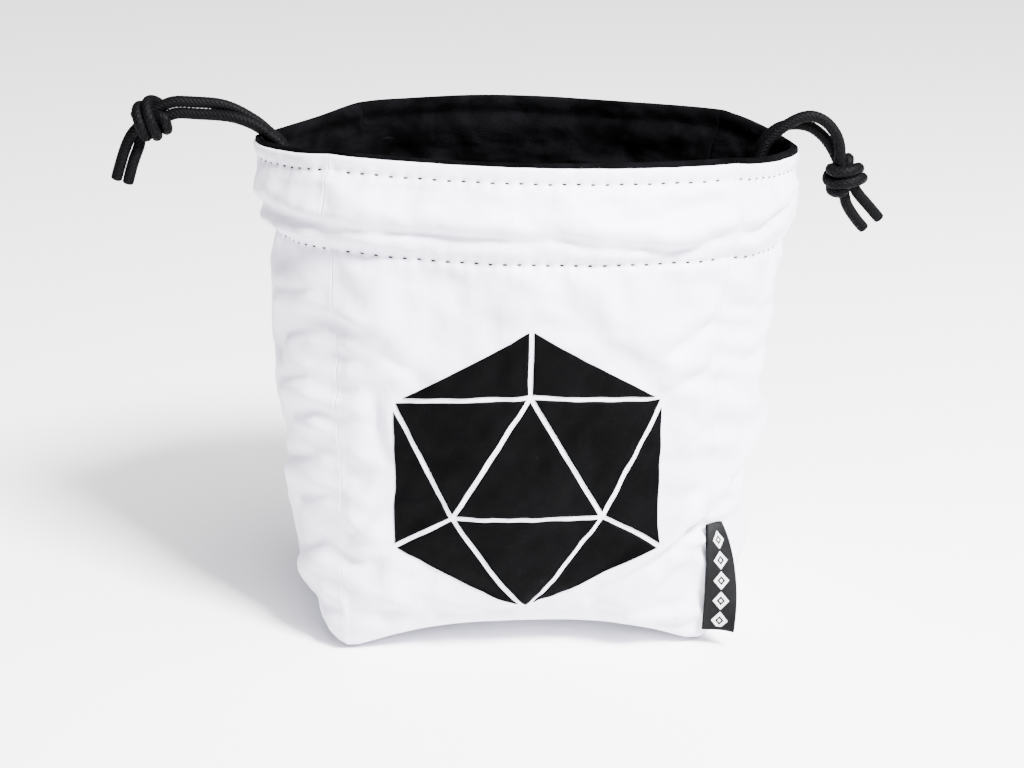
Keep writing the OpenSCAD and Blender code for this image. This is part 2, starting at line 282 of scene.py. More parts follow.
# up inside the mouth, over the rim to the knot, and the two tails; y is for the back one of each pair
LEFT_UP = [(-70.8, 5.4, 136), (-69.2, 3.4, 136.8), (-68.2, 2.2, 139.2), (-68.3, 1.9, 142.6),
           (-69.8, 1.9, 145.8)]
LEFT_OVER = [[(-72.9, 1.8, 148.4), (-75.6, 1.7, 150.6), (-79, 1.6, 152.4), (-83.4, 1.3, 153.8),
              (-88, 0.7, 154.3), (-94, 0.2, 154.6), (-99.2, 0, 154.9)],
             [(-72.9, 1.8, 148.4), (-75.6, 1.7, 151), (-79, 1.6, 153.4), (-83.4, 1.3, 155.9),
              (-88, 0.7, 157.4), (-94, 0.2, 158), (-100, 0, 158.3)]]
LEFT_TAILS = [[(-113.7, 147.8), (-115.4, 144.2), (-116.9, 140.1), (-118.6, 134.9)],
              [(-110.9, 146.4), (-112.2, 142.9), (-113.7, 138.9), (-115.3, 133.6)]]
RIGHT_UP = [(74.6, 5.4, 122.3), (72.8, 3.4, 123.2), (71.6, 2.2, 125.8), (71.2, 1.9, 130),
            (71.4, 1.9, 135), (72.6, 1.9, 140), (74.6, 1.9, 144.2)]
RIGHT_OVER = [[(77.3, 1.9, 147.3), (80.4, 1.9, 149.7), (84, 1.9, 151.7), (88, 1.9, 152.4),
               (92.2, 1.9, 150.6), (95.6, 1.9, 146.6), (97.0, 1.9, 142.2)],
              [(77.3, 1.9, 147.3), (80.2, 1.9, 148.7), (84, 1.9, 149.2), (88.2, 1.9, 148.4),
               (92, 1.9, 145.8), (94.8, 1.9, 142.4)]]
RIGHT_TAILS = [[(99.9, 125.4), (101.4, 122.8), (103.6, 119.8), (106.3, 116.8)],
               [(103.9, 127.6), (105.9, 125.4), (108.3, 122.7), (110.8, 119.8)]]
# in steps along a cord: its bend, before and after the pivot; how far into the knot its free
# stretch goes; and how far before that it already moves with the knot
BEND_BEFORE = 14
BEND_AFTER = 3
KNOT_GRIP = 8
PIVOTS = {"left": (-72.9, 0, 148.4), "right": (77.3, 0, 147.3)}
# a knot: the middle of its near face, its axis, and the direction from one strand to the other
KNOTS = {"left": ((-101.2, 0, 156.6), (-0.866, 0, -0.5), (-0.5, 0, 0.866)),
         "right": ((96.3, 0, 140.2), (0.375, 0, -0.927), (0, 1, 0))}


def strand(side_name, which, up, over, tail):
    """One end of a cord, from its slit to its cut tip, in four pieces: the part inside the mouth, the
    bend over the rim, the free cord up to the knot, and its half of the knot with its tail."""
    flip = -1.0 if which == "a" else 1.0
    near, axis, across = KNOTS[side_name]
    knot = knot_route(near, axis, math.pi if which == "a" else 0.0, across)
    rest = [(x, knot[-1][1] * 0.5 ** (k + 1), z) for k, (x, z) in enumerate(tail)]
    line = smooth_route([(x, y * flip, z) for x, y, z in up + over] + knot[1:].tolist() + rest)
    frames = carried_frames(line)
    at = int(np.argmin(np.linalg.norm(line[:len(line) // 2] - np.array(PIVOTS[side_name]), axis=1)))
    into = int(np.argmin(np.linalg.norm(line - knot[2], axis=1))) + KNOT_GRIP
    low, high = at - BEND_BEFORE, at + BEND_AFTER
    name, body = f"{side_name}_strand_{which}", f"{side_name}_cord"
    start = cord_tube(f"{name}_from_slit", line, frames, 0, low + 1)
    middle = cord_tube(f"{name}_over_rim", line, frames, low, high + 1)
    free = cord_tube(f"{name}_free", line, frames, high, into + 1)
    tied = cord_tube(f"{side_name}_knot_and_tail_{which}", line, frames, into, len(line), cut_end=True)
    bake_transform(start)
    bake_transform(middle)
    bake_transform(free)
    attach(tied, f"{body}_end")
    return start, free, tied


for side_name, up, overs, tails in (("left", LEFT_UP, LEFT_OVER, LEFT_TAILS),
                                    ("right", RIGHT_UP, RIGHT_OVER, RIGHT_TAILS)):
    for k, which in enumerate("ab"):
        start, free, tied = strand(side_name, which, up, overs[k], tails[k])
        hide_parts(f"{side_name}_cord_end_runs")
        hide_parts(f"{side_name}_strand_{which}")
        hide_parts(f"{side_name}_{'knot' if which == 'a' else 'tails'}")

# ---------------------------------------------------------------- the outer shell
# White satin-faced cloth: a front, a back, two side gussets and a base, sewn inside out and
# turned. Its stiffener holds it up; between its seams it sags, folds and puckers, and its
# bottom edge stands on the four corners and arches between them.
RIM = 148.0
ROW_HIGH = 143.5
ROW_LOW = 121.0
ROLL_RIM = 1.3
ROLL_BASE = 5.5
STITCH_PITCH = 4.0
SATIN_T = 0.5
ORDER = ("front", "right", "back", "left")


def rise(z):
    """Height as a share of the rim's, from 0 to a little over 1."""
    return (np.asarray(z, float) / RIM).clip(0, 1.1)


def mix(a, b, t):
    """Runs from a to b as t runs from 0 to 1."""
    return a + (b - a) * t


def bell(x, middle, wide):
    """A hump of height 1 at the middle, about as wide as it says on either side."""
    return np.exp(-((x - middle) / wide) ** 2)


def seam_x(z):
    """Half width between the corner seams: 54.2 mm at the base, 58.5 at the rim."""
    return mix(54.2, 58.5, rise(z) ** 1.8)


def seam_y(z):
    """Half depth between the corner seams: 43.5 mm at the base, 36 at the rim."""
    return mix(43.5, 36.0, rise(z) ** 2)


def smooth_wall(wall, u, z):
    """A spot on the wall before its folds; u runs from -1 to 1 between its seams, from left to right as
    seen from outside. Front and back are shallow parabolas. A gusset is squarer near the base and
    rounder at the rim, droops in its middle, bulges low on the right and is nipped at the lower row of
    stitching. The whole bag sways and tilts to the right as it rises."""
    t = rise(z)
    if wall in ("front", "back"):
        x = u * seam_x(z)
        tuck = 4.5 * bell(z, 0, 15) * (1 - np.abs(u) ** 3)
        y = -seam_y(z) - (mix(3.5, 11, t) + 16 * t * (1 - t)) * (1 - u ** 2) + tuck
        drop = 0 * z
        if wall == "back":
            x, y = -x, -y
            drop = -1.3 * bell(u, 0.3, 0.5) * t ** 3
    else:
        wide = mix(62, 80 if wall == "right" else 83, t ** 1.7) + 30 * t * (1 - t) ** 2
        wide = wide + (2.2 * bell(z, 112, 40) if wall == "right" else -2.8 * bell(z, 125, 9))
        flat = np.abs(u) ** mix(5, 1.4, t ** 0.8)
        x = seam_x(z) + (wide - seam_x(z)) * (1 - flat)
        y = u * seam_y(z)
        drop = 4 * (1 - u ** 2)
        if wall == "left":
            x, y = -x, -y
    lift = -(0.033 * x + drop) * t ** 2 - 0.016 * x * bell(z, ROW_LOW, 20)
    behind = np.clip((y + 15) / 45, 0, 1)
    drift = 7 * t ** 2 * behind * behind * (3 - 2 * behind)
    return np.stack([x + 3 * t ** 1.5 + drift, y, z + lift], -1)


def ripples(p, q, seed, size, keep=0.55, layers=5):
    """Soft wrinkles: a sum of sine waves in seeded directions, each layer 1.7 times shorter than the
    one before and keep times its height; size is the longest wave in millimetres."""
    rng = np.random.RandomState(seed)
    total = np.zeros(np.broadcast(p, q).shape)
    for k in range(layers):
        for way, phase in rng.uniform(0, 2 * np.pi, (3, 2)):
            turns = 2 * np.pi * (p * np.cos(way) + q * np.sin(way)) * 1.7 ** k / size
            total += keep ** k / 3 * np.sin(turns + phase)
    return total


def fold(p, q, a, b, wide, high):
    """A crease along the line from a to b, which dies away at both ends: a sharp valley, the falling
    exponential of the distance, between a full ridge on its left and a lower one on its right."""
    a, b = np.array(a, float), np.array(b, float)
    long = np.hypot(*(b - a))
    way = (b - a) / long
    s = ((p - a[0]) * way[0] + (q - a[1]) * way[1]) / long
    n = -(p - a[0]) * way[1] + (q - a[1]) * way[0]
    ends = np.clip(s / 0.3, 0, 1) * np.clip((1 - s) / 0.3, 0, 1)
    ends = ends * ends * (3 - 2 * ends)
    valley = np.exp(-np.sqrt(n ** 2 + 0.5) / (0.34 * wide))
    ridges = 0.75 * bell(n, 0.9 * wide, wide) + 0.35 * bell(n, -0.9 * wide, 0.8 * wide)
    return high * ends * (ridges - 0.8 * valley)


# each wall's folds: from, to, width, height; across the wall from its middle, and up, in millimetres
FOLDS = {
    "front": [((-74, 129), (8, 128), 4.2, 3.6), ((-34, 126), (16, 129), 4.0, 1.0),
              ((-2, 129), (58, 123), 4.0, 3.2), ((30, 121), (84, 138), 4.2, 3.0),
              ((22, 133), (60, 140), 4.0, 1.0), ((-58, 140), (-16, 141), 4.0, 0.8),
              ((-57, 32), (-32, 60), 5.0, 1.9), ((-50, 26), (-24, 52), 6.0, 1.3),
              ((22, 20), (70, 52), 4.6, 4.2), ((20, 8), (54, 17), 6.0, 1.6),
              ((34, 92), (60, 105), 5.0, 1.8), ((34, 80), (58, 90), 5.0, 1.3),
              ((-58, 100), (-30, 88), 6.0, 1.3), ((-46, 84), (-40, 58), 6.0, 1.3),
              ((-58, 14), (-30, 12), 6.0, 1.2), ((36, 58), (58, 72), 6.0, 1.1),
              ((22, 3), (56, 8), 4.0, 2.0), ((-57, 76), (-36, 70), 5.0, 1.2)],
    "right": [((-46, 44), (-4, 66), 5.0, 2.8), ((-60, 124), (0, 139), 4.2, 3.0),
              ((-44, 84), (-8, 98), 5.0, 1.8), ((-42, 14), (-14, 26), 6.0, 1.6),
              ((-20, 52), (16, 84), 8.0, 1.4), ((6, 30), (42, 16), 6.0, 1.2),
              ((4, 104), (42, 96), 6.0, 1.1), ((-4, 130), (40, 126), 4.0, 1.2)],
    "left": [((46, 110), (16, 105), 3.6, 1.8), ((46, 98), (22, 93), 3.6, 1.8),
             ((46, 86), (20, 79), 3.6, 1.7), ((46, 74), (26, 70), 3.6, 1.5),
             ((46, 62), (12, 52), 4.4, 1.9), ((46, 48), (24, 44), 3.6, 1.5),
             ((44, 34), (10, 20), 6.0, 1.9), ((60, 128), (-4, 131), 4.2, 3.4),
             ((-42, 74), (0, 58), 8.0, 1.3), ((-42, 112), (-6, 104), 6.0, 1.1),
             ((40, 130), (4, 132), 4.0, 1.3), ((-40, 128), (0, 130), 4.0, 1.1),
             ((-40, 22), (-12, 36), 6.0, 1.3)],
    "back": [((-58, 18), (-22, 46), 6.0, 1.8), ((20, 34), (58, 20), 6.0, 1.6),
             ((-56, 128), (-8, 130), 4.0, 1.4), ((2, 130), (56, 126), 4.0, 1.5),
             ((-58, 98), (-30, 88), 6.0, 1.2), ((26, 90), (58, 104), 6.0, 1.2),
             ((-30, 60), (10, 74), 9.0, 1.2), ((-10, 16), (20, 22), 8.0, 1.0)],
}


def half_width(wall, z):
    """Half of a wall's width along the cloth, in millimetres."""
    return seam_x(z) if wall in ("front", "back") else 47.0 + 0 * np.asarray(z, float)


def cloth_height(wall, p, z, edge, fine):
    """How far the cloth stands over the smooth wall: broad ripples, the folds, the puffed cord channel
    between its two rows of stitching, the valleys drawn in by the rows and by the corner seams with
    their puckers, and, when fine, a dimple at each stitch. Ripples and folds go no deeper than 1.6 mm,
    and are weak under the print. p is the distance from the wall's middle line, edge that to the
    nearer corner seam."""
    seed = 7 + 10 * ORDER.index(wall)
    calm = 1 - 0.6 * bell(z, ROW_LOW, 3.0) - 0.7 * np.clip((z - ROW_HIGH + 3) / 3, 0, 1)
    h = 1.3 * ripples(p, z * 1.3, seed, 64)
    for start, end, wide, high in FOLDS[wall]:
        h = h + 1.3 * fold(p, z, start, end, wide, high)
    if wall == "front":
        h = h * (1 - 0.75 * np.clip((47 - np.hypot(p, z - 58)) / 9, 0, 1))
    h = np.where(h < -0.7, -0.7 + 0.9 * np.tanh((h + 0.7) / 0.9), h)
    t = ((z - ROW_LOW) / (ROW_HIGH - ROW_LOW)).clip(0, 1)
    h = h + 1.4 * np.sin(np.pi * t) ** 0.8 + 0.5 * np.sin(np.pi * t) * ripples(p, z * 2.5, seed + 1, 30)
    gathers = np.sin(2 * np.pi * z / 10.5 + 2.5 * ripples(0 * p, z, seed + 2, 45) + p / 9)
    h = h + 0.9 * bell(edge, 0, 10) * gathers
    h = h * calm
    h = h - 0.6 * bell(z, ROW_LOW, 1.5) - 0.35 * bell(z, ROW_HIGH, 1.4)
    h = h - 0.22 * bell(edge, 0, 2.2) - 0.8 * bell(edge, 0, 5.0)
    if fine:
        off = (p + STITCH_PITCH / 2) % STITCH_PITCH - STITCH_PITCH / 2
        h = h - 0.35 * bell(off, 0, 1.0) * (bell(z, ROW_HIGH, 0.8) + bell(z, ROW_LOW, 0.85))
        drawn = 0.06 * bell(z, ROW_HIGH, 2.6) + 0.12 * bell(z, ROW_LOW, 3.4)
        h = h - np.cos(2 * np.pi * p / STITCH_PITCH) * drawn
        h = h + 0.09 * ripples(p, z, seed + 5, 9.0, layers=3)
    return h


SLACK = {}


def slack(wall, u, z):
    """How the simulated cloth moved at a spot, in millimetres: between the four nearest spots of the
    wall's grid by their shares."""
    if wall not in SLACK:
        return 0.0
    grid = SLACK[wall]
    n, m = grid.shape[:2]
    a = ((u + 1) / 2 * (n - 1)).clip(0, n - 1.001)
    b = (z / RIM * (m - 1)).clip(0, m - 1.001)
    i, j = a.astype(int), b.astype(int)
    s, t = (a - i)[..., None], (b - j)[..., None]
    return ((1 - s) * (1 - t) * grid[i, j] + s * (1 - t) * grid[i + 1, j]
            + (1 - s) * t * grid[i, j + 1] + s * t * grid[i + 1, j + 1])


def raw_wall(wall, u, z, depth, fine):
    """Smooth wall plus the cloth's height, less a depth, along the direction square to the wall; the
    bottom edge is arched up between the corners, dying away over the lowest 25 mm."""
    across = smooth_wall(wall, u + 0.01, z) - smooth_wall(wall, u - 0.01, z)
    up = smooth_wall(wall, u, z + 0.5) - smooth_wall(wall, u, z - 0.5)
    out = np.cross(across, up)
    out /= np.linalg.norm(out, axis=-1)[..., None]
    half = half_width(wall, z)
    h = cloth_height(wall, u * half, z, (1 - np.abs(u)) * half, fine) * np.clip(z / 10, 0.05, 1) ** 0.6
    points = smooth_wall(wall, u, z) + out * (h - depth)[..., None] + slack(wall, u, z)
    tall = {"front": 6.4, "back": 5.0, "left": 3.0, "right": 3.4}[wall]
    lift = tall * np.clip(1 - (np.abs(u) / 0.9) ** 2.6, 0, 1) * bell(z, 0, 14)
    points[..., 2] += lift
    return points


def skin(wall, u, z, depth=0.0, fine=True):
    """Points of a wall, depth millimetres in from the cloth's face. Beside a corner seam they are drawn
    to the middle between this wall's edge and its neighbour's, so that the walls join."""
    u, z = np.broadcast_arrays(np.asarray(u, float), np.asarray(z, float))
    depth = np.broadcast_to(np.asarray(depth, float), u.shape)
    half = half_width(wall, z)
    points = raw_wall(wall, u * (1 - depth / half), z, depth, fine)
    k = ORDER.index(wall)
    for end, other in ((1.0, ORDER[(k + 1) % 4]), (-1.0, ORDER[(k + 3) % 4])):
        edge_of = []
        for name, at in ((wall, end), (other, -end)):
            inward = 1 - depth / half_width(name, z)
            edge_of.append(raw_wall(name, at * inward, z, depth, fine))
        pull = bell((1 - end * u) * half, 0, 4.5)
        points = points + pull[..., None] * (edge_of[1] - edge_of[0]) / 2
    return points


def facing(wall, u, z, depth=0.0, fine=True):
    """The direction outwards, square to the cloth, from points a little to each side."""
    across = skin(wall, u + 0.004, z, depth, fine) - skin(wall, u - 0.004, z, depth, fine)
    up = skin(wall, u, z + 0.25, depth, fine) - skin(wall, u, z - 0.25, depth, fine)
    out = np.cross(across, up)
    return out / np.linalg.norm(out, axis=-1)[..., None]


def finer(coarse, times):
    """A matrix that puts a smooth cubic curve through evenly spaced values, with that many steps between
    two of them: each new value is the Catmull-Rom mix of the four values nearest to it."""
    at = np.linspace(0, coarse - 1, (coarse - 1) * times + 1)
    i = at.astype(int).clip(0, coarse - 2)
    t = at - i
    weights = np.stack([-t ** 3 + 2 * t ** 2 - t, 3 * t ** 3 - 5 * t ** 2 + 2, -3 * t ** 3 + 4 * t ** 2 + t,
                        t ** 3 - t ** 2], 1) / 2
    out = np.zeros((len(at), coarse))
    for k in range(4):
        np.add.at(out, (np.arange(len(at)), (i + k - 1).clip(0, coarse - 1)), weights[:, k])
    return out


def let_out(columns, rows, frames=26, cap=3.2):
    """The cloth settles: the four walls as one ring of cloth, cut 4% too large, are held by their seams,
    their rows of stitching and both edges, and fall into creases between them. Ten times full size.
    Each spot moves by no more than the cap, in millimetres, and by less over the cord channel. Each
    wall's grid of moves goes in SLACK."""
    z = np.linspace(0, RIM, rows)
    ring, held = [], []
    for wall in ORDER:
        u = np.linspace(-1, 1, columns[wall])[:-1]
        U, Z = np.meshgrid(u, z, indexing="ij")
        ring.append(skin(wall, U, Z, 0.0, False))
        hold = 0.9 * bell((1 - np.abs(U)) * half_width(wall, Z), 0, 1.5)
        hold = np.maximum(hold, np.maximum(bell(Z, ROW_LOW, 1.8), bell(Z, ROW_HIGH, 1.8)))
        hold = np.maximum(hold, np.clip(1 - Z / 9, 0, 1) + np.clip((Z - 145) / 2, 0, 1))
        smooth = 0.05 if wall == "front" else 0.02
        hold = np.maximum(hold, smooth * bell(U, 0, 0.6))
        if wall == "front":
            from_print = np.hypot(U * half_width(wall, Z), Z - 58)
            hold = np.maximum(hold, 0.3 * np.clip((50 - from_print) / 10, 0, 1))
        held.append(np.clip(hold, 0.015, 1))
    rest, hold = np.concatenate(ring), np.concatenate(held).ravel()
    n = len(rest)
    i, j = np.meshgrid(np.arange(n), np.arange(rows - 1), indexing="ij")
    k = (i + 1) % n
    faces = np.stack([i * rows + j, k * rows + j, k * rows + j + 1, i * rows + j + 1], -1).reshape(-1, 4)
    cloth = mesh_piece("settling_cloth", rest.reshape(-1, 3) * 10, faces, satin)
    group = cloth.vertex_groups.new(name="held")
    for level in range(1, 51):
        spots = np.nonzero(np.round(hold * 50) == level)[0]
        if len(spots):
            group.add(spots.tolist(), level / 50, "REPLACE")
    solver = cloth.modifiers.new("cloth", "CLOTH")
    now = solver.settings
    now.quality = 6
    now.mass = 0.15
    now.tension_stiffness = now.compression_stiffness = now.shear_stiffness = 12
    now.bending_stiffness = 0.35
    now.shrink_min = -0.04
    now.vertex_group_mass = "held"
    now.effector_weights.gravity = 0.12
    solver.collision_settings.use_collision = False
    solver.point_cache.frame_start = 1
    solver.point_cache.frame_end = frames
    scene = bpy.context.scene
    for frame_number in range(1, frames + 1):
        scene.frame_set(frame_number)
    settled = cloth.evaluated_get(bpy.context.evaluated_depsgraph_get())
    flat = np.empty(n * rows * 3, np.float32)
    settled.data.vertices.foreach_get("co", flat)
    scene.frame_set(1)
    bpy.data.objects.remove(cloth)
    move = flat.reshape(n, rows, 3).astype(float) / MM / 10 - rest
    # the ring's swelling as a whole is taken back out, and the creases stay
    gap = np.abs(np.arange(n)[:, None] - np.arange(n)[None, :])
    round_it = np.exp(-(np.minimum(gap, n - gap) / 7.0) ** 2)
    upward = np.exp(-((np.arange(rows)[:, None] - np.arange(rows)[None, :]) / 7.0) ** 2)
    round_it /= round_it.sum(1, keepdims=True)
    upward /= upward.sum(1, keepdims=True)
    move -= 0.8 * np.einsum("ai,bj,ijk->abk", round_it, upward, move)
    move[:, 1:-1] = 0.5 * move[:, 1:-1] + 0.25 * (move[:, :-2] + move[:, 2:])
    move = 0.5 * move + 0.25 * (np.roll(move, 1, 0) + np.roll(move, -1, 0))
    move *= (1 - 0.6 * bell(z, (ROW_LOW + ROW_HIGH) / 2, 13.0))[None, :, None]
    far = np.linalg.norm(move, axis=-1)[..., None]
    move *= np.minimum(1, cap / (far + 1e-9))
    at = 0
    for wall in ORDER:
        take = np.arange(at, at + columns[wall]) % n
        fine_u, fine_z = finer(columns[wall], 4), finer(rows, 4)
        SLACK[wall] = np.einsum("ai,bj,ijk->abk", fine_u, fine_z, move[take])
        at += columns[wall] - 1


def shell_rows():
    """Rows of the shell, as (height, inset): a quarter roll under the base, the wall with its rows
    packed close at the stitching, and a roll over the rim and down inside."""
    under = np.radians(np.linspace(20, 90, 8, endpoint=False))
    z = np.linspace(ROLL_BASE, RIM - ROLL_RIM, 600)
    close = 0.85 + 1.7 * (bell(z, ROW_LOW, 2.4) + bell(z, ROW_HIGH, 3.0))
    count = np.concatenate([[0], np.cumsum((close[1:] + close[:-1]) / 2 * np.diff(z))])
    wall = np.interp(np.linspace(0, count[-1], int(count[-1])), count, z)
    over = np.radians(np.linspace(0, 110, 10)[1:])
    height = [ROLL_BASE * (1 - np.cos(under)), wall, RIM - ROLL_RIM + ROLL_RIM * np.sin(over)]
    inset = [ROLL_BASE * (1 - np.sin(under)), 0 * wall, ROLL_RIM * (1 - np.cos(over))]
    return np.concatenate(height), np.concatenate(inset)


def grid_faces(n, m, start=0, flip=False):
    """Quads of a grid of n by m points, numbered along the second side; flipped, they face the other
    way."""
    i, j = np.meshgrid(np.arange(n - 1), np.arange(m - 1), indexing="ij")
    quads = np.stack([i * m + j, (i + 1) * m + j, (i + 1) * m + j + 1, i * m + j + 1], -1)
    quads = quads.reshape(-1, 4)
    return (quads[:, ::-1] if flip else quads) + start


def lay_flat(piece, flat):
    """Gives a piece its UV map: each point's place on the flat cloth, in millimetres."""
    corner = np.empty(len(piece.data.loops), np.int32)
    piece.data.loops.foreach_get("vertex_index", corner)
    places = flat[corner].astype(np.float32).ravel()
    piece.data.uv_layers.new(name="cloth").data.foreach_set("uv", places)


def square_to(points):
    """The direction square to a grid of points: across the steps along its two sides."""
    across = np.cross(np.gradient(points, axis=0), np.gradient(points, axis=1))
    return across / (np.linalg.norm(across, axis=-1)[..., None] + 1e-9)


def cloth_sheet(name, face, back, uv, material):
    """A closed sheet of cloth: a grid for its face, one for its back turned round, and a strip round
    the edge."""
    n, m = face.shape[:2]
    k = n * m
    rim = np.concatenate([np.arange(m), np.arange(1, n) * m + m - 1,
                          (n - 1) * m + np.arange(m - 2, -1, -1), np.arange(n - 2, 0, -1) * m])
    after = np.roll(rim, -1)
    strip = np.stack([rim, after, after + k, rim + k], -1)
    faces = np.vstack([grid_faces(n, m), grid_faces(n, m, k, True), strip])
    points = np.vstack([face.reshape(-1, 3), back.reshape(-1, 3)])
    piece = mesh_piece(name, points, faces, material)
    lay_flat(piece, np.vstack([uv.reshape(-1, 2)] * 2))
    return piece


satin, satin_tree, satin_shader = finish_of("satin", (0.86, 0.85, 0.9), 0.5, Sheen_Weight=0.25,
                                            Sheen_Roughness=0.35, Specular_IOR_Level=0.4)
satin_uv = add(satin_tree, "ShaderNodeUVMap", uv_map="cloth")
satin_twill = add(satin_tree, "ShaderNodeTexWave", [("Vector", satin_uv.outputs["UV"])], Scale=0.55,
                  Distortion=1.2, Detail=2.0, bands_direction="DIAGONAL")
satin_slub = cloud(satin_tree, Scale=1100.0, Detail=3.0)
satin_crush = cloud(satin_tree, Scale=170.0, Detail=5.0, Roughness=0.6, Distortion=0.6)
tone(satin_tree, satin_shader, cloud(satin_tree, Scale=26.0, Detail=3.0), 0.3, (0.73, 0.715, 0.85),
     0.7, (0.81, 0.80, 0.91))
bumps(satin_tree, satin_shader, (satin_crush, 0.25, 0.0012), (satin_twill.outputs["Fac"], 0.1, 0.0001),
      (satin_slub, 0.22, 0.0002))

let_out({"front": 57, "right": 45, "back": 57, "left": 45}, 75)

# front and back, which are worked with more columns than the gussets; the body name and sign beside each
# are not read
LEAN = {"front": ("front_wall", -1.0), "back": ("back_wall", 1.0)}


def fasten(piece, wall):
    """Bakes the piece's place into its mesh; front, back and each half of a gusset are all treated alike."""
    if wall in LEAN:
        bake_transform(piece)
    else:
        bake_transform(piece)


# (wall, the half it is, name, from u, to u): a gusset is worked in two halves
PARTS = [("front", None, "front", -1, 1), ("right", "front", "right_front", -1, 0),
         ("right", "back", "right_back", 0, 1), ("back", None, "back", -1, 1),
         ("left", "back", "left_back", -1, 0), ("left", "front", "left_front", 0, 1)]
HIGH, INSET = shell_rows()
feet = []
for wall, half, name, first, last in PARTS:
    wide = 220 if wall in LEAN else 92
    u, z = np.meshgrid(np.linspace(first, last, wide), HIGH, indexing="ij")
    inset = np.broadcast_to(INSET, z.shape)
    points = skin(wall, u, z, inset)
    uv = np.stack([u * half_width(wall, z), z + inset], -1)
    shell = cloth_sheet(f"shell_{name}", points, points - SATIN_T * square_to(points), uv, satin)
    fasten(shell, wall)
    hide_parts(f"outer_{wall}")
    feet.append(points[:, 0])


def floor_sheet(name, loop, thick, middle_z, sag_seed, material, rings=26):
    """The base: rings that shrink from the walls' foot to the middle, each at a height that goes from
    the foot's to the middle's, closed below by the same rings a thickness lower."""
    centre = loop.mean(0) * (1, 1, 0)
    f = np.linspace(1, 0, rings)[:, None, None]
    xy = centre[None, None, :2] + (loop[None, :, :2] - centre[None, None, :2]) * f
    z = middle_z + (loop[None, :, 2:] - middle_z) * f ** 3
    z = z + 0.3 * (1 - f ** 2) * ripples(xy[..., :1], xy[..., 1:], sag_seed, 40)
    top = np.concatenate([xy, z], -1)
    n, m = top.shape[:2]
    up = ring_quads(n, m)
    rim = np.arange(m)
    after = np.roll(rim, -1)
    strip = np.stack([rim, rim + n * m, after + n * m, after], -1)
    faces = np.vstack([up, up[:, ::-1] + n * m, strip])
    top = top.reshape(-1, 3)
    piece = mesh_piece(name, np.vstack([top, top - (0, 0, thick)]), faces, material)
    lay_flat(piece, np.vstack([xy.reshape(-1, 2)] * 2))
    return piece


foot = np.vstack([row[:-1:3] for row in feet])
base = floor_sheet("shell_base", foot + (0, 0, SATIN_T), SATIN_T, 4.4, 71, satin)
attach(base, "bag")
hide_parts("outer_base")

# ---------------------------------------------------------------- the fleece stiffener
# A felted fleece is laid in between shell and lining on every wall and under the base; it
# gives the walls their stand. It is hidden, and ends below the lower row of stitching.
FLEECE_OUT = 0.9
FLEECE_IN = 2.2
fleece, fleece_tree, fleece_shader = finish_of("fleece", (0.55, 0.55, 0.57), 0.95, Sheen_Weight=0.3)
fleece_fibre = cloud(fleece_tree, Scale=700.0, Detail=6.0, Roughness=0.7, Distortion=1.5)
tone(fleece_tree, fleece_shader, fleece_fibre, 0.3, (0.42, 0.42, 0.44), 0.7, (0.62, 0.62, 0.64))
bumps(fleece_tree, fleece_shader, (fleece_fibre, 0.6, 0.0006))

fleece_z = np.linspace(5.0, ROW_LOW - 4, 46)
for wall, half, name, first, last in PARTS:
    u, z = np.meshgrid(np.linspace(first, last, 41 if wall in LEAN else 21), fleece_z, indexing="ij")
    face, back = (skin(wall, u, z, depth, False) for depth in (FLEECE_OUT, FLEECE_IN))
    uv = np.stack([u * half_width(wall, z), z], -1)
    pad = cloth_sheet(f"stiffener_{name}", face, back, uv, fleece)
    fasten(pad, wall)
    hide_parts(f"fleece_{wall}")
stiff_loop = np.vstack([skin(wall, np.linspace(first, last, 30)[:-1], 5.0, 3.4, False)
                        for wall, half, name, first, last in PARTS])
stiff_loop = stiff_loop * (0.97, 0.97, 0.6) + (0, 0, 1.8)
stiff_base = floor_sheet("stiffener_base", stiff_loop, 1.2, 5.9, 72, fleece)
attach(stiff_base, "bag")
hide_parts("fleece_base")

# ---------------------------------------------------------------- the lining
# Black crushed velour, sewn up as its own bag and joined to the shell at the rim, where its
# pile stands a little above the white. Between the two rows of stitching it is lifted off the
# shell by the cords; the rows pull it back.
LINING_T = 1.1
velour, velour_tree, velour_shader = finish_of("velour", (0.004, 0.004, 0.005), 0.95, Sheen_Weight=0.002,
                                               Sheen_Roughness=0.5, Specular_IOR_Level=0.01)
velour_pile = cloud(velour_tree, Scale=1500.0, Detail=4.0, Roughness=0.7)
velour_nap = cloud(velour_tree, Scale=75.0, Detail=4.0, Distortion=1.2)
tone(velour_tree, velour_shader, velour_nap, 0.35, (0.0005, 0.0005, 0.0006), 0.7,
     (0.0025, 0.0025, 0.003))
bumps(velour_tree, velour_shader, (velour_nap, 0.35, 0.0015), (velour_pile, 0.8, 0.0005))


def lining_depth(z):
    """How deep the pile's face lies behind the shell's: 3.4 mm down the walls, 6.1 in the channel over
    the cords, and 2.2 where a row of stitching pulls it back."""
    t = ((z - ROW_LOW) / (ROW_HIGH - ROW_LOW)).clip(0, 1)
    channel = 2.7 * np.sin(np.pi * t) ** 0.6
    return 3.4 + channel - 1.2 * bell(z, ROW_LOW, 2.6) - 1.2 * bell(z, ROW_HIGH, 2.0)


def pile(p, z, seed):
    """Ruffles of the pile and soft rucks of the lining, in millimetres."""
    return 0.5 * ripples(p * 1.6, z, seed, 34) + 0.12 * ripples(p, z, seed + 1, 5.0, layers=3)


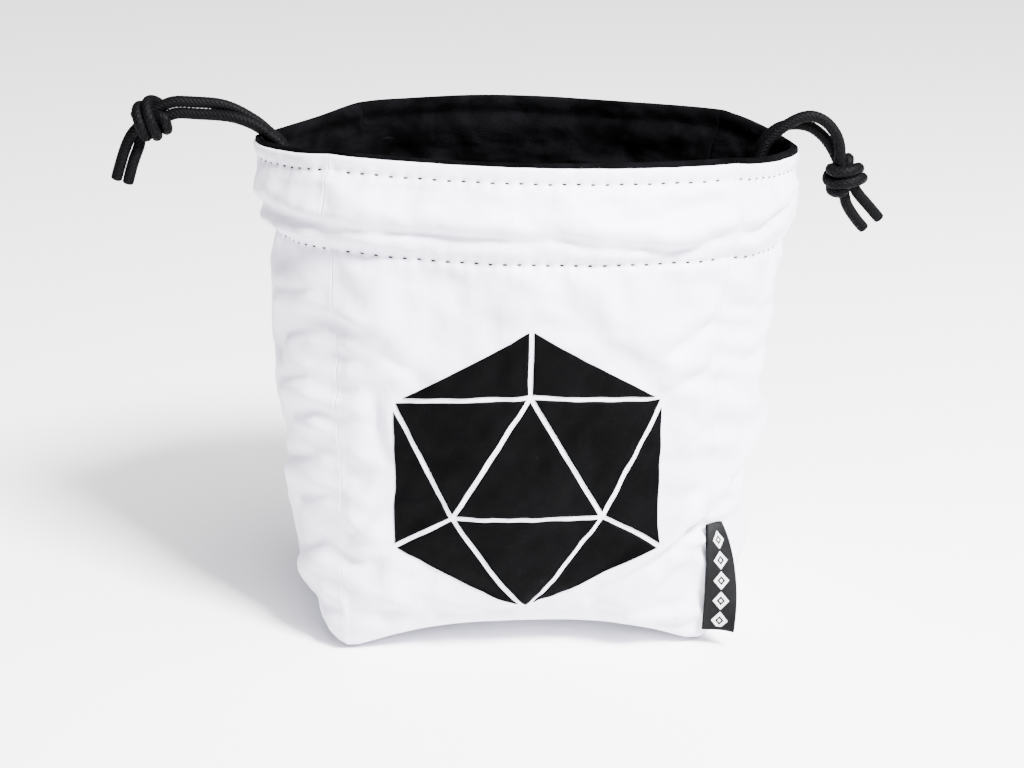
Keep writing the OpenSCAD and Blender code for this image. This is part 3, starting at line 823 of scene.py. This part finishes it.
down = np.concatenate([np.linspace(5.6, 100, 60)[:-1], np.linspace(100, RIM - 1.2, 70)])
over_rim = np.radians(np.linspace(0, 180, 15)[1:])
lining_z = np.concatenate([down, RIM - 1.2 + 2.1 * np.sin(over_rim)])
toes = []
SLITS = {"left": 136.0, "right": 122.3}
for wall, half, name, first, last in PARTS:
    wide = 150 if wall in LEAN else 66
    u, z = np.meshgrid(np.linspace(first, last, wide), lining_z, indexing="ij")
    p = u * half_width(wall, z)
    depth = lining_depth(down)
    top = depth[-1]
    roll = 2.3 + (top - 2.3) * np.cos(over_rim) * np.where(over_rim < np.pi / 2, 1, 0.6 / (top - 2.3))
    d = np.broadcast_to(np.concatenate([depth, roll]), z.shape) - pile(p, z, 90 + ORDER.index(wall)) * (
        np.concatenate([1 - bell(down, RIM + 1, 3.0), 0 * over_rim]))
    if wall in SLITS:
        # the slit's lips: the lining is pressed in where the cords come through
        d = d - 1.5 * np.exp(-(p / 6.5) ** 4 - ((z - SLITS[wall]) / 2.6) ** 2)
    face = skin(wall, u, z, d, False)
    back = skin(wall, u, z, d - LINING_T, False)
    lean_z = 0.5 * np.clip((face[..., 0] + 20) / 70, 0, 1) * bell(z, RIM + 1, 2.5)
    face[..., 2] += lean_z
    back[..., 2] += lean_z
    velvet = cloth_sheet(f"velour_{name}", back, face, np.stack([p, z], -1), velour)
    fasten(velvet, wall)
    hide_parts(f"lining_{wall}")
    toes.append(face[:, 0])
toe = np.vstack([row[:-1:2] for row in toes])
lining_base = floor_sheet("velour_base", toe, LINING_T, 7.4, 73, velour)
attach(lining_base, "bag")
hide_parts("lining_base")

# ---------------------------------------------------------------- cord hidden in the channel
# Each cord runs right round the bag between the two rows of stitching, the left cord's run
# above the right one's, and both ends turn in to the slit on their own side.
RUNS = {"left": 137.0, "right": 129.0}
RUN_R = 1.5
RUN_DEPTH = 3.3


def run_tube(name, line, sides=14):
    """A plain round tube along a hidden run."""
    ring = tube_points(line, *carried_frames(line), RUN_R, sides)
    return mesh_piece(name, ring.reshape(-1, 3), tube_faces(len(line), sides), cord_black)


for side_name, level in RUNS.items():
    near = side_name
    far = "right" if near == "left" else "left"
    for wall, half, name, first, last in PARTS:
        if wall == near:
            # the end runs: from the corner seam to the slit, 5.4 mm to the side of its middle
            if first < 0:
                first, last = -1.0, -0.14
            else:
                first, last = 0.14, 1.0
        u = np.linspace(first, last, 60 if wall in LEAN else 26)
        way = skin(wall, u, level + 0 * u, RUN_DEPTH, False)
        for _ in range(20):
            way[1:-1] = 0.5 * way[1:-1] + 0.25 * (way[:-2] + way[2:])
        run = run_tube(f"{side_name}_cord_{name}", way)
        fasten(run, wall)
        part = {"front": "front_run", "back": "back_run", far: "far_run", near: "end_runs"}[wall]
        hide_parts(f"{side_name}_cord_{part}")

# ---------------------------------------------------------------- the two rows of stitching
# Black topstitching, 4 mm to the stitch: one row 4.5 mm under the rim, and one 27 mm under it
# that closes the cord channel. Each stitch dips into the cloth at both ends.
THREAD_L = 1.5
THREAD_R = 0.22
ARC_OVER = 0.22
ARC_UNDER = 0.25
thread, thread_tree, thread_shader = finish_of("thread", (0.002, 0.002, 0.0025), 0.5,
                                               Specular_IOR_Level=0.08)
thread_twist = cloud(thread_tree, Scale=5200.0, Detail=2.0)
tone(thread_tree, thread_shader, thread_twist, 0.3, (0.001, 0.001, 0.0012), 0.75,
     (0.004, 0.004, 0.0045))
bumps(thread_tree, thread_shader, (thread_twist, 0.5, 0.0001))


def stitch_row(name, wall, first, last, row):
    """A row of stitches, each a low arc of thread: a tube of six sides whose middle stands over the
    cloth and whose ends sink into it, thinner towards the ends."""
    half = float(half_width(wall, np.array(row)))
    count = int((half - 3.0) / STITCH_PITCH)
    spots = np.arange(-count, count + 1) * STITCH_PITCH
    spots = spots[(spots > first * half - 0.1) & (spots < last * half - 0.1)]
    s = np.linspace(-1, 1, 9)
    p = spots[:, None] + s[None, :] * THREAD_L / 2
    wobble = 0.12 * np.sin(spots * 2.7)[:, None] + 0.05 * s[None, :] * np.cos(spots * 1.9)[:, None]
    u, z = p / half, row + 0 * p + wobble
    out = facing(wall, u, z)
    arc = ARC_OVER - (ARC_OVER + ARC_UNDER) * s ** 4
    middle = skin(wall, u, z) + out * arc[:, None]
    along = np.gradient(middle, axis=1)
    along /= np.linalg.norm(along, axis=-1)[..., None]
    radius = THREAD_R * (1 - 0.35 * s ** 4)[:, None]
    ring = tube_points(middle, np.cross(along, out), out, radius, 6)
    one = tube_faces(len(s), 6)
    faces = [[k + n * len(s) * 6 for k in face] for n in range(len(spots)) for face in one]
    return mesh_piece(name, ring.reshape(-1, 3), faces, thread)


for row_name, row in (("rim", ROW_HIGH), ("channel", ROW_LOW)):
    for wall, half, name, first, last in PARTS:
        seam = stitch_row(f"{row_name}_stitching_{name}", wall, first, last, row)
        fasten(seam, wall)
        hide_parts(f"{row_name}_stitches_{wall}")

# ---------------------------------------------------------------- the printed die
# A matt black heat-pressed film: the outline of a twenty-sided die in ten triangles with thin
# gaps of bare cloth between them. It follows the cloth's folds.
DIE_R = 45.0
DIE_Z = 58.0
DIE_INNER = 0.56 * DIE_R
DIE_GAP = 1.4
FILM_OUT = 0.34
FILM_T = 0.5
film, film_tree, film_shader = finish_of("print_film", (0.003, 0.003, 0.0035), 0.62,
                                         Specular_IOR_Level=0.02)
tone(film_tree, film_shader, cloud(film_tree, Scale=60.0, Detail=5.0), 0.35,
     (0.0004, 0.0004, 0.0005), 0.75, (0.0014, 0.0014, 0.0016))
bumps(film_tree, film_shader, (cloud(film_tree, Scale=1300.0, Detail=3.0), 0.25, 0.0002))


def round_points(radius, count):
    """That many points evenly round a circle, clockwise from its top."""
    turn = 2 * np.pi * np.arange(count) / count
    return radius * np.stack([np.sin(turn), np.cos(turn)], -1)


def die_triangles():
    """The die's ten facets as corners: a hexagon round an inner triangle. Each is drawn in on all
    sides by half of the gap."""
    rim, inner = round_points(DIE_R, 6), round_points(DIE_INNER, 3)
    facets = [inner]
    for k in range(3):
        facets += [[rim[2 * k], rim[2 * k + 1], inner[k]], [rim[2 * k - 1], rim[2 * k], inner[k]],
                   [inner[k], rim[2 * k + 1], inner[(k + 1) % 3]]]
    shrunk = []
    for facet in facets:
        c = np.array(facet)
        a = np.linalg.norm(np.roll(c, -1, 0) - np.roll(c, -2, 0), axis=1)
        middle = (c * a[:, None]).sum(0) / a.sum()
        area = abs(np.cross(c[1] - c[0], c[2] - c[0])) / 2
        inside = 2 * area / a.sum()
        shrunk.append(middle + (c - middle) * (1 - DIE_GAP / 2 / inside))
    return np.array(shrunk)


facets = die_triangles()
FINE = 44
i, j = np.meshgrid(np.arange(FINE + 1), np.arange(FINE + 1), indexing="ij")
live = i + j <= FINE
number = np.full(live.shape, -1)
number[live] = np.arange(live.sum())
share = np.stack([i[live], j[live], FINE - i[live] - j[live]], -1) / FINE
spots = np.einsum("kc,fcx->fkx", share, facets)
a, b = i[live & (i + j < FINE)], j[live & (i + j < FINE)]
one = np.stack([number[a, b], number[a + 1, b], number[a, b + 1]], -1)
a, b = i[live & (i + j < FINE - 1)], j[live & (i + j < FINE - 1)]
two = np.stack([number[a + 1, b], number[a + 1, b + 1], number[a, b + 1]], -1)
steps = np.arange(FINE)
edge = np.concatenate([number[steps, 0], number[FINE - steps, steps], number[0, FINE - steps]])
x, z = spots[..., 0], spots[..., 1] + DIE_Z
u = x / seam_x(z)
out = facing("front", u, z)
top = skin("front", u, z) + FILM_OUT * out
low = top - FILM_T * out
count = share.shape[0]
points, faces = [], []
for k in range(len(facets)):
    tri = np.vstack([one, two])
    corner = top[k][tri[0]]
    if np.dot(np.cross(corner[1] - corner[0], corner[2] - corner[0]), out[k][0]) < 0:
        tri = tri[:, ::-1]
        around = edge[::-1]
    else:
        around = edge
    after = np.roll(around, -1)
    rim_strip = np.stack([around, around + count, after + count, after], -1)
    for part in (tri, tri[:, ::-1] + count, rim_strip):
        faces += (part + 2 * count * k).tolist()
    points += [top[k], low[k]]
printed = mesh_piece("printed_die_film", np.vstack(points), faces, film)
fasten(printed, "front")
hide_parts("printed_die")

# ---------------------------------------------------------------- the side label
# A black woven ribbon, folded in half over itself and caught by its two cut ends in the front
# right seam, 5.5 mm over the base. Its motif is a plain row of woven diamonds.
LABEL_LOW = 5.5
LABEL_HIGH = 39.5
LABEL_W = 9.4
RIBBON_T = 0.32
ribbon, ribbon_tree, ribbon_shader = finish_of("label_ribbon", (0.01, 0.01, 0.012), 0.45, Sheen_Weight=0.01,
                                               Sheen_Roughness=0.3, Specular_IOR_Level=0.06)
ribbon_uv = add(ribbon_tree, "ShaderNodeUVMap", uv_map="cloth")
ribbon_axes = add(ribbon_tree, "ShaderNodeSeparateXYZ", [("Vector", ribbon_uv.outputs["UV"])])


def maths(kind, *values):
    """A maths node of the ribbon's; each value is a number or the output of another node."""
    node = add(ribbon_tree, "ShaderNodeMath", operation=kind)
    for k, value in enumerate(values):
        if isinstance(value, (int, float)):
            node.inputs[k].default_value = value
        else:
            ribbon_tree.links.new(value, node.inputs[k])
    return node.outputs[0]


# |across - 5| / 2.5 + |along in its 6.4 mm repeat - 3.2| / 2.9 < 1 is a diamond; its outer half is
# white, and so is its heart under 0.22; the row starts at 1.2 mm and stops at 32 mm
across, along = ribbon_axes.outputs["X"], ribbon_axes.outputs["Y"]
off_line = maths("ABSOLUTE", maths("SUBTRACT", across, 5.0))
off_middle = maths("ABSOLUTE", maths("SUBTRACT", maths("MODULO", along, 6.4), 3.2))
reach = maths("ADD", maths("DIVIDE", off_line, 2.5), maths("DIVIDE", off_middle, 2.9))
outer = maths("MULTIPLY", maths("LESS_THAN", reach, 1.0), maths("GREATER_THAN", reach, 0.52))
white = maths("ADD", outer, maths("LESS_THAN", reach, 0.22))
row = maths("MULTIPLY", maths("GREATER_THAN", along, 1.2), maths("LESS_THAN", along, 32.0))
motif = maths("MULTIPLY", white, row)
weave, warp = [
    add(ribbon_tree, "ShaderNodeTexWave", [("Vector", ribbon_uv.outputs["UV"])], Scale=scale,
        Distortion=distortion, Detail=1.0, bands_direction=bands).outputs["Fac"]
    for scale, distortion, bands in ((1.1, 0.8, "Y"), (1.6, 0.5, "X"))]
ground = ramp(ribbon_tree, weave, 0.2, (0.0008, 0.0008, 0.001), 0.9, (0.004, 0.004, 0.0045))
figure = ramp(ribbon_tree, warp, 0.1, (0.42, 0.42, 0.44), 0.8, (0.72, 0.72, 0.74))
ribbon_colour = add(ribbon_tree, "ShaderNodeMix", [("Factor", motif)], data_type="RGBA")
ribbon_tree.links.new(ground, ribbon_colour.inputs[6])
ribbon_tree.links.new(figure, ribbon_colour.inputs[7])
ribbon_tree.links.new(ribbon_colour.outputs[2], ribbon_shader.inputs["Base Color"])
bumps(ribbon_tree, ribbon_shader, (weave, 0.5, 0.0001), (warp, 0.3, 0.00008),
      (motif, 0.5, 0.0001))

# the ribbon's way, seen from above: out from the seam over the gusset, round the fold, and back
lay_z = np.linspace(LABEL_LOW, LABEL_HIGH, 60)
t = np.linspace(0, 1, 24)
turn = np.linspace(-np.pi / 2, np.pi / 2, 11)[1:-1]
gap = 0.42
flat_out = np.concatenate([t * LABEL_W, LABEL_W + gap * np.cos(turn), (1 - t) * LABEL_W])
flat_up = np.concatenate([gap + 0 * t, -gap * np.sin(turn), -gap + 0 * t])
a, z = np.meshgrid(np.arange(len(flat_out)), lay_z, indexing="ij")
reach_out, lift = flat_out[a], flat_up[a]
seam_line = skin("front", 1.0, lay_z, 0.0, False)
seam_line = np.stack([np.polyval(np.polyfit(lay_z, seam_line[:, k], 2), lay_z) for k in range(3)], 1)
climb = (z - LABEL_LOW) / (LABEL_HIGH - LABEL_LOW)
heading = np.radians(-4 + 62 * climb ** 1.5 - 10 * (reach_out / LABEL_W) ** 2 * (1 - climb))
waver = 0.35 * np.sin(z / 5.5 + 1) * (reach_out / LABEL_W) ** 2
path = seam_line[None, :, :] + np.stack([
    reach_out * np.cos(heading) + (lift + waver) * np.sin(heading) - 0.3,
    reach_out * np.sin(heading) - (lift + waver) * np.cos(heading) - 1.9,
    -2.2 * (reach_out / LABEL_W) * climb], -1)
arc = np.concatenate([[0], np.cumsum(np.hypot(np.diff(flat_out), np.diff(flat_up)))])
uv = np.stack([arc[a], z - LABEL_LOW], -1)
label = cloth_sheet("side_label", path, path - RIBBON_T * square_to(path), uv, ribbon)
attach(label, "label")
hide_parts("woven_label")
